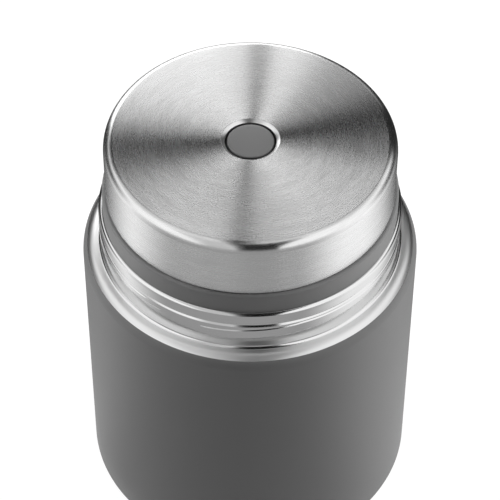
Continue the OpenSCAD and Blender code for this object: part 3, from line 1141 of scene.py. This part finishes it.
@dataclass(frozen=True)
class Card:
    """A soft-edged card that only reflections see, on a sphere round the lid's centre.

    Its band is the angles from its pole between which it lies, and its run the angles round the
    pole, counted from the side that it looks ``towards``.
    """

    name: str
    level: float
    pole: Way
    towards: Way
    band: Span
    run: Span
    soft_band: float
    soft_run: float
    distance: float = 1.6

    def frame(self) -> tuple[Vector, Vector, Vector]:
        """The directions ahead, aside and up the pole."""
        up = Vector(self.pole).normalized()
        ahead = Vector(self.towards)
        ahead = (ahead - up * ahead.dot(up)).normalized()
        return ahead, up.cross(ahead), up

    def line(self) -> list[Vector]:
        """The line that is spun round the pole, from the centre."""
        ahead, _, up = self.frame()
        first, last = self.band
        part = (last - first) / CARD_LINE_STEPS
        angles = [math.radians(first + part * i) for i in range(CARD_LINE_STEPS + 1)]
        return [(up * math.cos(a) + ahead * math.sin(a)) * self.distance for a in angles]

    @staticmethod
    def faded(value: Value, limits: Span, soft: float) -> Value:
        """1 between two limits, falling to 0 over a distance inside each of them."""
        near = (value - limits[0]) / soft
        far = (limits[1] - value) / soft
        share = near.maths("MINIMUM", near, far)
        share = share.maths("MAXIMUM", share.maths("MINIMUM", share, 1.0), 0.0)
        return share * share * (3.0 - share * 2.0)

    def glow(self, centre: Vector) -> Material:
        """The card's material, which fades out along its edges."""
        shader = Shader(self.name)
        spot = [axis - part for axis, part in zip(shader.axes(), centre)]
        ahead, aside, up = (
            spot[0] * way.x + spot[1] * way.y + spot[2] * way.z for way in self.frame()
        )
        around = ahead.maths("ARCTAN2", aside, ahead) * math.degrees(1.0)
        cover = self.faded(around, self.run, self.soft_run)
        if self.soft_band:
            off = (ahead * ahead + aside * aside) ** 0.5
            angle = off.maths("ARCTAN2", off, up) * math.degrees(1.0)
            cover = self.faded(angle, self.band, self.soft_band) * cover
        light = shader.node("ShaderNodeEmission", {"Strength": self.level})
        return shader.mixed(cover, shader.node("ShaderNodeBsdfTransparent"), light)

    def build(self, centre: Vector) -> Object:
        """Makes the card.

        Args:
            centre: The point that its line starts from and its pole runs through.

        Returns:
            The card.
        """
        pole = Vector(self.pole).normalized()
        start = Matrix.Rotation(math.radians(self.run[0]), 3, pole)
        mesh = bmesh.new()
        spots = [mesh.verts.new(centre + start @ spot) for spot in self.line()]
        runs = [mesh.edges.new(pair) for pair in zip(spots, spots[1:])]
        bmesh.ops.spin(
            mesh,
            geom=[*spots, *runs],
            cent=centre,
            axis=pole,
            angle=math.radians(self.run[1] - self.run[0]),
            steps=CARD_SPIN_STEPS,
        )
        made = meshed(self.name, mesh)
        made.data.materials.append(self.glow(centre))
        made.visible_camera = False
        made.visible_diffuse = False
        made.visible_shadow = False
        return made


@dataclass(frozen=True)
class FloorCard(Card):
    """A card that lies on the floor and curls up; its band is two radii in metres."""

    drop: float = 0.118
    lift: float = 0.0
    curl: float = 0.35

    def line(self) -> list[Vector]:
        """The line that is spun, from the inner radius to the curled end."""
        ahead, _, up = self.frame()
        flat = [ahead * radius - up * self.drop for radius in self.band]
        return flat + [ahead * (self.band[1] + self.curl) + up * self.lift]


@dataclass(frozen=True)
class Softbox:
    """A square lamp that faces the jar."""

    name: str
    azimuth: float
    elevation: float
    distance: float
    side: float
    radiance: float

    def build(self, centre: Vector) -> Object:
        """Makes the lamp.

        Args:
            centre: The point that it faces.

        Returns:
            The lamp.
        """
        data = bpy.data.lights.new(self.name, "AREA")
        data.shape = "SQUARE"
        data.size = self.side
        data.energy = self.radiance * math.pi * self.side * self.side
        made = placed(self.name, data)
        a, e = math.radians(self.azimuth), math.radians(self.elevation)
        way = Vector((math.sin(a) * math.cos(e), -math.cos(a) * math.cos(e), math.sin(e)))
        made.location = centre + way * self.distance
        made.rotation_euler = way.to_track_quat("Z", "Y").to_euler()
        made.visible_glossy = False
        return made


@dataclass(frozen=True)
class Studio:
    """White floor and background, soft lamps, and cards that shape the steel's reflections."""

    centre: Way = (0.0, 0.0, 0.12)
    ambient: float = 0.16
    gloss: float = 1.2
    floor_side: float = 6.0
    floor_tone: float = 0.72
    floor_glow: float = 0.8
    floor_white: float = 1.12
    cards: tuple[Card, ...] = (
        Card("back_arch", 0.02, NEAR_BACK, UP, (35.0, 65.0), (-52.0, 82.0), 10.0, 20.0, 0.32),
        Card("left_window", 2.65, UP, BACK, (50.0, 84.0), (-16.0, 46.0), 8.0, 10.0, 0.2),
        Card("ceiling_haze", 0.72, RIGHT, UP, (42.0, 138.0), (-34.0, 2.0), 18.0, 8.0, 0.22),
        Card("zenith_strip", 0.0, NEAR_RIGHT, UP, (91.5, 95.7), (-66.0, 14.0), 1.2, 8.0, 0.19),
        Card("zenith_patch", 0.03, NEAR_RIGHT, UP, (86.5, 99.5), (-14.0, 8.0), 3.5, 6.0, 0.185),
        Card("front_room", 0.01, RIGHT, FRONT, (70.0, 101.0), (-95.0, 10.0), 4.0, 6.0),
        Card("front_left_haze", 0.65, RIGHT, FRONT, (92.0, 126.0), (-95.0, 10.0), 12.0, 6.0, 1.5),
        Card("rear_low", 0.02, UP, BACK, (57.0, 100.0), (-100.0, 100.0), 12.0, 36.0, 1.5),
        FloorCard(
            "front_floor", 0.38, UP, FRONT, (0.055, 1.1), (-94.0, 72.0), 0.0, 42.0, lift=0.25
        ),
        FloorCard("rear_floor", 0.02, UP, BACK, (0.055, 1.1), (-95.0, 95.0), 0.0, 55.0),
    )
    lamps: tuple[Softbox, ...] = (
        Softbox("left_lamp", -106.0, 22.0, 1.5, 1.0, 10.6),
        Softbox("right_lamp", 101.0, 22.0, 1.5, 1.0, 12.6),
        Softbox("top_lamp", 180.0, 80.0, 1.5, 1.0, 1.6),
    )

    def seen(self, shader: Shader) -> tuple[Value, Value]:
        """Whether a ray comes from the camera, and whether from gloss or through glass."""
        path = shader.node("ShaderNodeLightPath").outputs
        direct = Value(shader, path["Is Camera Ray"])
        gloss = Value(shader, path["Is Glossy Ray"])
        return direct, gloss.maths("MAXIMUM", gloss, Value(shader, path["Is Transmission Ray"]))

    def floor(self) -> Object:
        """A white floor that keeps the jar's shadow."""
        mesh = bmesh.new()
        bmesh.ops.create_grid(mesh, x_segments=1, y_segments=1, size=self.floor_side / 2.0)
        made = meshed("floor", mesh)
        shader = Shader("white_floor")
        tone = (*grey(self.floor_tone), 1.0)
        matte = shader.node("ShaderNodeBsdfDiffuse", {"Color": tone})
        glow = shader.node("ShaderNodeEmission", {"Strength": self.floor_white})
        direct, gloss = self.seen(shader)
        share = (direct + gloss) * self.floor_glow
        made.data.materials.append(shader.mixed(share, matte, glow))
        return made

    def world(self) -> None:
        """White for what is seen, and a plain level of light on the jar."""
        world = bpy.data.worlds.new("white_room")
        world.cycles.sampling_method = "NONE"
        bpy.context.scene.world = world
        shader = Shader(world.name, world)
        direct, gloss = self.seen(shader)
        level = direct * (1.0 - self.ambient) + gloss * (self.gloss - self.ambient) + self.ambient
        sockets = {"Color": (*grey(1.0), 1.0), "Strength": level}
        back = shader.node("ShaderNodeBackground", sockets)
        shader.node("ShaderNodeOutputWorld", {0: back.outputs[0]})

    def build(self) -> None:
        self.world()
        centre = Vector(self.centre)
        stage = [self.floor()]
        stage += [item.build(centre) for item in self.cards + self.lamps]


@dataclass(frozen=True)
class PhotoCamera:
    """The photograph's view: a long lens that looks down on the lid."""

    place: Way = (0.0, -0.4759, 0.6089)
    down: float = 47.65
    roll: float = 0.3
    lens: float = 168.8
    sensor: float = 36.0
    reach: float = 20.0

    def build(self) -> None:
        """Makes the camera and sets it as the scene's."""
        data = bpy.data.cameras.new("photo_camera")
        data.lens = self.lens
        data.sensor_width = self.sensor
        data.clip_end = self.reach
        made = placed("photo_camera", data)
        tilt = Matrix.Rotation(math.radians(90.0 - self.down), 4, "X")
        roll = Matrix.Rotation(math.radians(self.roll), 4, "Z")
        made.matrix_world = Matrix.Translation(self.place) @ tilt @ roll
        bpy.context.scene.camera = made


def main() -> None:
    """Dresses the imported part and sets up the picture."""
    logging.basicConfig(level=logging.INFO, format="%(name)s: %(message)s")
    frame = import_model()
    bpy.context.scene.view_settings.view_transform = "Standard"
    palette = Palette()
    Flask().build(palette)
    Stopper().build(palette)
    Vent().build(palette)
    InnerPieces().dress(frame["nodes"], palette)
    Studio().build()
    PhotoCamera().build()


if __name__ == "__main__":
    main()
